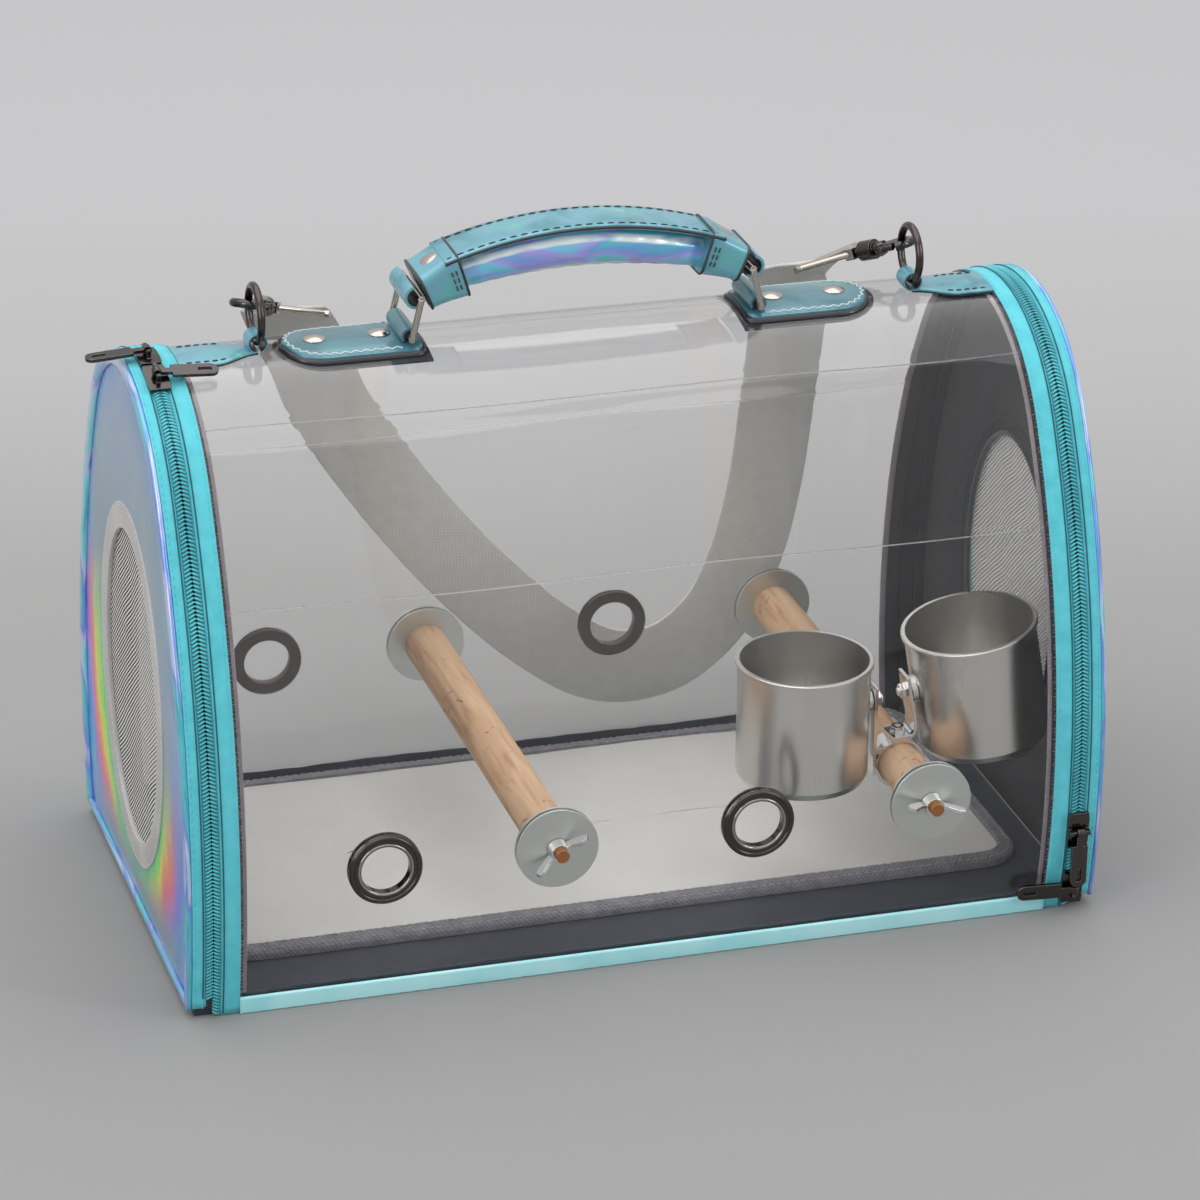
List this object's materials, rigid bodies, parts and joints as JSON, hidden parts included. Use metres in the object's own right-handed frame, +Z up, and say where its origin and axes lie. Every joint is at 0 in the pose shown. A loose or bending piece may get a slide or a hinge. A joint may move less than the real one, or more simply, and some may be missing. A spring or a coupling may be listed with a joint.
{
  "type": "bird travel carrier",
  "caption": "Clear tunnel-shaped bird carrier with zipped mesh-window end doors, wooden perches, clamped steel cups, floor mat, padded handle and clip-on shoulder strap.",
  "frame": {"origin": "middle of the footprint on the surface that the carrier stands on", "axes": "+X runs along the tunnel towards the end with the cups, +Y away from the cups towards the strap, +Z up"},
  "size_m": [0.4351, 0.2548, 0.3124],
  "materials": {
    "clear_sheet": "clear, glossy",
    "base": "matte",
    "sill": "glossy, light turquoise",
    "zip": "matte turquoise tape",
    "facing": "fuzzy dark grey",
    "holo": "iridescent turquoise sheet",
    "gunmetal": "satin gunmetal",
    "nickel": "polished nickel",
    "steel": "polished",
    "chrome": "polished",
    "zinc": "galvanised",
    "brass": "machined",
    "wood": "pale, bare",
    "webbing": "woven grey",
    "mat_cloth": "quilted grey",
    "mesh": "woven mesh",
    "trim": "smooth light grey"
  },
  "bodies": {
    "carrier": {"clear_cover": "clear_sheet", "base_board": "base", "front_sill": "sill", "rear_sill": "sill", "left_body_zip": "zip", "right_body_zip": "zip", "left_facing": "facing", "right_facing": "facing", "left_handle_tab": "holo", "right_handle_tab": "holo", "tab_backings": "facing", "tab_rivets": "nickel", "left_ring_tab": "zip", "right_ring_tab": "zip", "eyelets": "gunmetal", "left_perch": "wood", "right_perch": "wood", "perch_studs": "brass", "perch_washers": "zinc", "left_hook": "gunmetal", "right_hook": "gunmetal", "left_hook_eye": "nickel", "right_hook_eye": "nickel", "shoulder_strap": "webbing", "right_lower_slider": "gunmetal"},
    "left_door": {"left_door_panel": "holo", "left_door_lining": "facing", "left_door_zip": "zip", "left_window_trim": "trim", "left_window_mesh": "mesh"},
    "right_door": {"right_door_panel": "holo", "right_door_lining": "facing", "right_door_zip": "zip", "right_window_trim": "trim", "right_window_mesh": "mesh"},
    "left_front_slider": {"left_front_slider": "gunmetal"},
    "left_rear_slider": {"left_rear_slider": "gunmetal"},
    "right_upper_slider": {"right_upper_slider": "gunmetal"},
    "left_front_pull": {"left_front_pull": "gunmetal"},
    "left_rear_pull": {"left_rear_pull": "gunmetal"},
    "right_upper_pull": {"right_upper_pull": "gunmetal"},
    "right_lower_pull": {"right_lower_pull": "gunmetal"},
    "mat": {"floor_mat": "mat_cloth"},
    "nut_left_front": {"wing_nut_left_front": "steel"},
    "nut_left_rear": {"wing_nut_left_rear": "steel"},
    "nut_right_front": {"wing_nut_right_front": "steel"},
    "nut_right_rear": {"wing_nut_right_rear": "steel"},
    "left_ring": {"left_ring": "gunmetal"},
    "right_ring": {"right_ring": "gunmetal"},
    "left_gate": {"left_gate": "gunmetal"},
    "right_gate": {"right_gate": "gunmetal"},
    "left_loop": {"left_loop": "nickel"},
    "right_loop": {"right_loop": "nickel"},
    "handle": {"handle_roll": "holo", "handle_strap": "holo", "cuff_rivets": "nickel"},
    "clamp": {"cup_clamp": "chrome", "clamp_screws": "chrome"},
    "left_cup": {"left_cup": "steel"},
    "right_cup": {"right_cup": "steel"}
  },
  "joints": [
    {"name": "left_door_fold", "type": "hinge", "parent": "carrier", "child": "left_door", "pos_m": [-0.206, 0, 0.0044], "axis": [0, -1, 0], "range_deg": [0, 90]},
    {"name": "right_door_fold", "type": "hinge", "parent": "carrier", "child": "right_door", "pos_m": [0.206, 0, 0.0044], "axis": [0, 1, 0], "range_deg": [0, 90]},
    {"name": "left_front_slider_run", "type": "hinge", "parent": "carrier", "child": "left_front_slider", "pos_m": [-0.1981, 0, 0.184], "axis": [1, 0, 0], "range_deg": [0, 37]},
    {"name": "left_rear_slider_run", "type": "hinge", "parent": "carrier", "child": "left_rear_slider", "pos_m": [-0.1981, 0, 0.184], "axis": [-1, 0, 0], "range_deg": [0, 52]},
    {"name": "right_upper_slider_run", "type": "hinge", "parent": "carrier", "child": "right_upper_slider", "pos_m": [0.1981, 0.20527, 0.065], "axis": [-1, 0, 0], "range_deg": [0, 29]},
    {"name": "left_front_pull_swing", "type": "hinge", "parent": "left_front_slider", "child": "left_front_pull", "pos_m": [-0.1981, -0.02148, 0.26707], "axis": [0, -0.9681, -0.2504], "range_deg": [0, 150]},
    {"name": "left_rear_pull_swing", "type": "hinge", "parent": "left_rear_slider", "child": "left_rear_pull", "pos_m": [-0.1981, -0.0015, 0.26979], "axis": [0, 0.9998, 0.0175], "range_deg": [0, 150]},
    {"name": "right_upper_pull_swing", "type": "hinge", "parent": "right_upper_slider", "child": "right_upper_pull", "pos_m": [0.1981, -0.11695, 0.04158], "axis": [-1, 0, 0], "range_deg": [0, 120]},
    {"name": "right_lower_pull_swing", "type": "hinge", "parent": "carrier", "child": "right_lower_pull", "pos_m": [0.1981, -0.11336, 0.01164], "axis": [0, -0.1652, 0.9863], "range_deg": [0, 150]},
    {"name": "left_loop_swing", "type": "hinge", "parent": "carrier", "child": "left_loop", "pos_m": [-0.0845, 0, 0.26867], "axis": [0, 1, 0], "range_deg": [-20, 20]},
    {"name": "handle_swing", "type": "hinge", "parent": "left_loop", "child": "handle", "pos_m": [-0.08034, 0, 0.2867], "axis": [0, 1, 0], "range_deg": [-21.5, 21.5]},
    {"name": "right_loop_swing", "type": "hinge", "parent": "carrier", "child": "right_loop", "pos_m": [0.0745, 0, 0.26867], "axis": [0, 1, 0], "range_deg": [-20.5, 20.5]},
    {"name": "nut_left_front_spin", "type": "hinge", "parent": "carrier", "child": "nut_left_front", "pos_m": [-0.045, -0.11592, 0.064], "axis": [0, 1, 0], "continuous": true},
    {"name": "nut_left_rear_spin", "type": "hinge", "parent": "carrier", "child": "nut_left_rear", "pos_m": [-0.045, 0.11592, 0.064], "axis": [0, 1, 0], "continuous": true},
    {"name": "nut_right_front_spin", "type": "hinge", "parent": "carrier", "child": "nut_right_front", "pos_m": [0.12762, -0.11592, 0.064], "axis": [0, 1, 0], "continuous": true},
    {"name": "nut_right_rear_spin", "type": "hinge", "parent": "carrier", "child": "nut_right_rear", "pos_m": [0.12762, 0.11592, 0.064], "axis": [0, 1, 0], "continuous": true},
    {"name": "left_ring_swing", "type": "hinge", "parent": "carrier", "child": "left_ring", "pos_m": [-0.15, 0, 0.26867], "axis": [0, 1, 0], "range_deg": [-2, 3]},
    {"name": "right_ring_swing", "type": "hinge", "parent": "carrier", "child": "right_ring", "pos_m": [0.15, 0, 0.26867], "axis": [0, 1, 0], "range_deg": [-3, 2]},
    {"name": "left_gate_swing", "type": "hinge", "parent": "carrier", "child": "left_gate", "pos_m": [-0.14085, 0.01421, 0.27811], "axis": [-0.2068, -0.3124, -0.9272], "range_deg": [0, 20], "stiffness_Nm_per_rad": 0.02, "springref_deg": -17.19},
    {"name": "right_gate_swing", "type": "hinge", "parent": "carrier", "child": "right_gate", "pos_m": [0.14085, 0.01421, 0.27811], "axis": [-0.2068, 0.3124, 0.9272], "range_deg": [0, 20], "stiffness_Nm_per_rad": 0.02, "springref_deg": -17.19},
    {"name": "mat_lift", "type": "slide", "parent": "carrier", "child": "mat", "axis": [0, 0, 1], "range_m": [0, 0.035]},
    {"name": "clamp_slide", "type": "slide", "parent": "carrier", "child": "clamp", "axis": [0, 1, 0], "range_m": [0, 0.125]},
    {"name": "left_cup_tilt", "type": "hinge", "parent": "clamp", "child": "left_cup", "pos_m": [0.11452, -0.066, 0.095], "axis": [1, 0, 0], "range_deg": [-15, 15]},
    {"name": "right_cup_tilt", "type": "hinge", "parent": "clamp", "child": "right_cup", "pos_m": [0.13222, -0.066, 0.098], "axis": [0.9848, 0, 0.1736], "range_deg": [-15, 15]}
  ],
  "couplings": [
    {"joint": "handle_swing", "follows": "left_loop_swing", "ratio": -1.0573},
    {"joint": "right_loop_swing", "follows": "left_loop_swing", "ratio": 1.0064}
  ]
}
